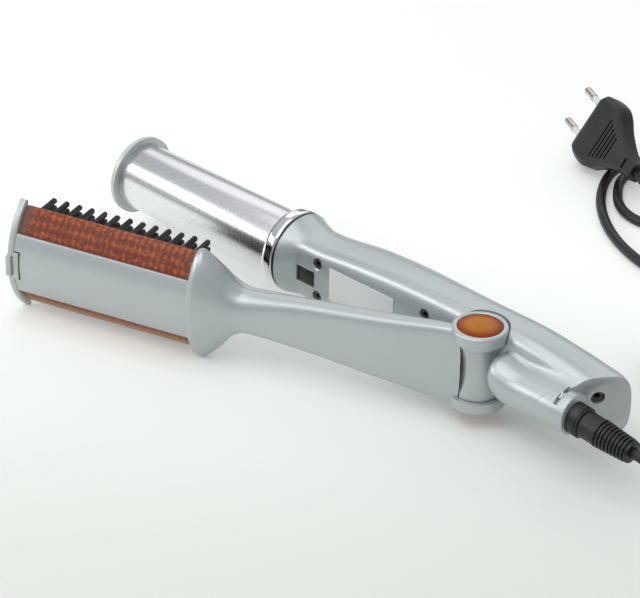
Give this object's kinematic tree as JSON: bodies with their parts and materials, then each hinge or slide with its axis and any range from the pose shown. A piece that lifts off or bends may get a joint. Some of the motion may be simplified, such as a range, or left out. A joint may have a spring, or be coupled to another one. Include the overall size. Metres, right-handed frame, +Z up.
{
  "type": "hair curler straightener",
  "caption": "Rotating hot brush iron with a motor-driven heated barrel, a hinged bristle arm and a corded swivel end.",
  "frame": {"origin": "centre of the flat lower hinge cap, on the hinge axis", "axes": "+Z up along the hinge axis; +X along the tool towards its cord end; the barrel points to -X"},
  "size_m": [0.3514, 0.3382, 0.056],
  "materials": {
    "silver_plastic": "satin silver moulding",
    "black_plastic": "matt black moulding",
    "dark_plastic": "dark grey moulding",
    "amber_plastic": "translucent orange moulding",
    "cap_orange": "glossy orange moulding",
    "chrome": "bright chrome",
    "barrel_aluminium": "fine turned grain",
    "steel": "zinc plated steel",
    "nickel": "nickel plated pin",
    "rubber": "matt black flexible",
    "white_plastic": "matt pale",
    "ceramic_heater": "fired ceramic",
    "board": "green laminate",
    "bronze": "sintered bronze"
  },
  "bodies": {
    "handle": {"rear_housing": "silver_plastic", "front_housing": "silver_plastic", "housing_screws": "steel", "tail_screw": "steel", "label_plate": "white_plastic", "barrel_collar": "black_plastic", "chrome_ring": "chrome", "bulkhead": "dark_plastic", "core_tube": "steel", "heater_core": "ceramic_heater", "tip_bush": "bronze", "motor": "steel", "control_board": "board", "micro_switch": "black_plastic", "heat_switch": "black_plastic", "torsion_spring": "steel", "cord_lead": "rubber", "cord_coil": "rubber", "cord_tail": "rubber", "cord_tie": "black_plastic", "plug_body": "rubber", "plug_pins": "nickel", "plug_sleeves": "white_plastic"},
    "arm": {"arm_shell": "silver_plastic", "arm_inner_cover": "silver_plastic", "arm_screws": "steel", "hinge_pin": "steel", "hinge_cap_top": "cap_orange", "hinge_cap_bottom": "cap_orange", "brush_chassis": "dark_plastic", "amber_guard": "amber_plastic", "brush_shield": "silver_plastic", "bristle_row_upper": "black_plastic", "bristle_row_lower": "black_plastic", "brush_end_cap": "silver_plastic"},
    "barrel": {"barrel_tube": "barrel_aluminium", "barrel_end_cap": "silver_plastic", "drive_hub": "white_plastic"},
    "pinion": {"motor_pinion": "white_plastic"},
    "plunger": {"switch_plunger": "black_plastic"},
    "slider": {"heat_slider": "silver_plastic"},
    "swivel": {"swivel_collar": "black_plastic", "strain_relief": "rubber"}
  },
  "joints": [
    {"name": "arm_hinge", "type": "hinge", "parent": "handle", "child": "arm", "pos_m": [0, 0, 0.0194], "axis": [0, 0, -1], "range_deg": [0, 16], "stiffness_Nm_per_rad": 0.15, "springref_deg": -20.05},
    {"name": "barrel_spin", "type": "hinge", "parent": "handle", "child": "barrel", "pos_m": [-0.17, 0.0154, 0.0194], "axis": [-1, 0, 0], "continuous": true},
    {"name": "pinion_spin", "type": "hinge", "parent": "handle", "child": "pinion", "pos_m": [-0.114, 0.0239, 0.0194], "axis": [-1, 0, 0], "continuous": true},
    {"name": "plunger_slide", "type": "slide", "parent": "handle", "child": "plunger", "axis": [0, 1, 0], "range_m": [0, 0.002]},
    {"name": "slider_turn", "type": "hinge", "parent": "handle", "child": "slider", "pos_m": [0.051, -0.0024, 0.0194], "axis": [1, 0, 0], "range_deg": [-19, 19]},
    {"name": "relief_swivel", "type": "hinge", "parent": "handle", "child": "swivel", "pos_m": [0.0566, -0.0024, 0.0182], "axis": [0.9945, 0, -0.1045], "continuous": true}
  ],
  "couplings": [
    {"joint": "pinion_spin", "follows": "barrel_spin", "ratio": -2.4},
    {"joint": "plunger_slide", "follows": "arm_hinge", "m_per_rad": 0.00716}
  ]
}
